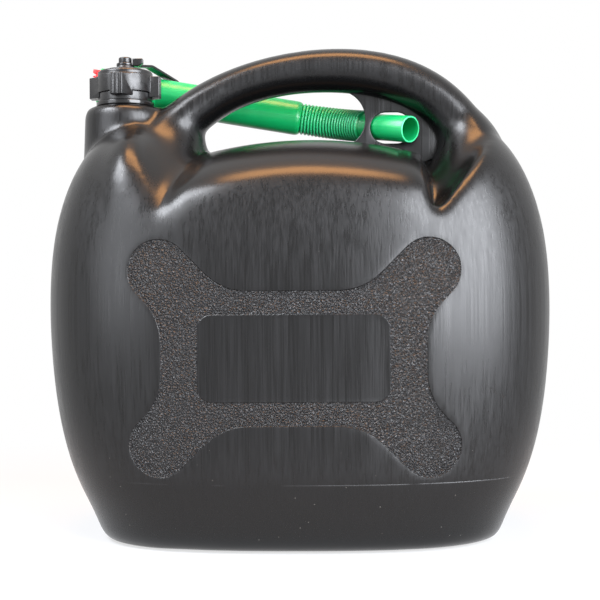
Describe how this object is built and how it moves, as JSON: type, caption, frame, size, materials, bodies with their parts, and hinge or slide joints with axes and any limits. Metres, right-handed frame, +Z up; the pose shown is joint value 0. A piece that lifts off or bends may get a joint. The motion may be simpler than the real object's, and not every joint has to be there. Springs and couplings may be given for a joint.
{
  "type": "fuel jerrycan",
  "caption": "Blown plastic fuel can with an arched carrying handle, a winged screw closure on a strap and a flexible pouring spout stored behind the handle.",
  "frame": {"origin": "on the floor under the middle of the can", "axes": "+X along the width towards the web that holds the spout's tip, +Y towards the back where the spout is stored, +Z up"},
  "size_m": [0.3838, 0.2246, 0.3763],
  "materials": {
    "can_plastic": "satin black, blow moulded, with a grained pad",
    "cap_plastic": "satin black, injection moulded",
    "strap_plastic": "soft glossy black",
    "spout_plastic": "soft satin green",
    "plug_plastic": "satin red",
    "gasket_rubber": "matte black"
  },
  "bodies": {
    "root": {"can_body": "can_plastic", "spout": "spout_plastic", "spout_plug": "plug_plastic", "tamper_band": "cap_plastic", "cap_strap": "strap_plastic"},
    "closure": {"closure_disc": "cap_plastic", "cap_gasket": "gasket_rubber"},
    "ring": {"screw_ring": "cap_plastic"}
  },
  "joints": [
    {"name": "closure_lift", "type": "slide", "parent": "root", "child": "closure", "axis": [0, 0, 1], "range_m": [0, 0.012], "deforming": ["cap_strap"]},
    {"name": "ring_turn", "type": "hinge", "parent": "closure", "child": "ring", "pos_m": [-0.136, 0, 0.352], "axis": [0, 0, 1], "range_deg": [0, 1080]}
  ],
  "couplings": [
    {"joint": "closure_lift", "follows": "ring_turn", "m_per_rad": 0.00063662}
  ]
}
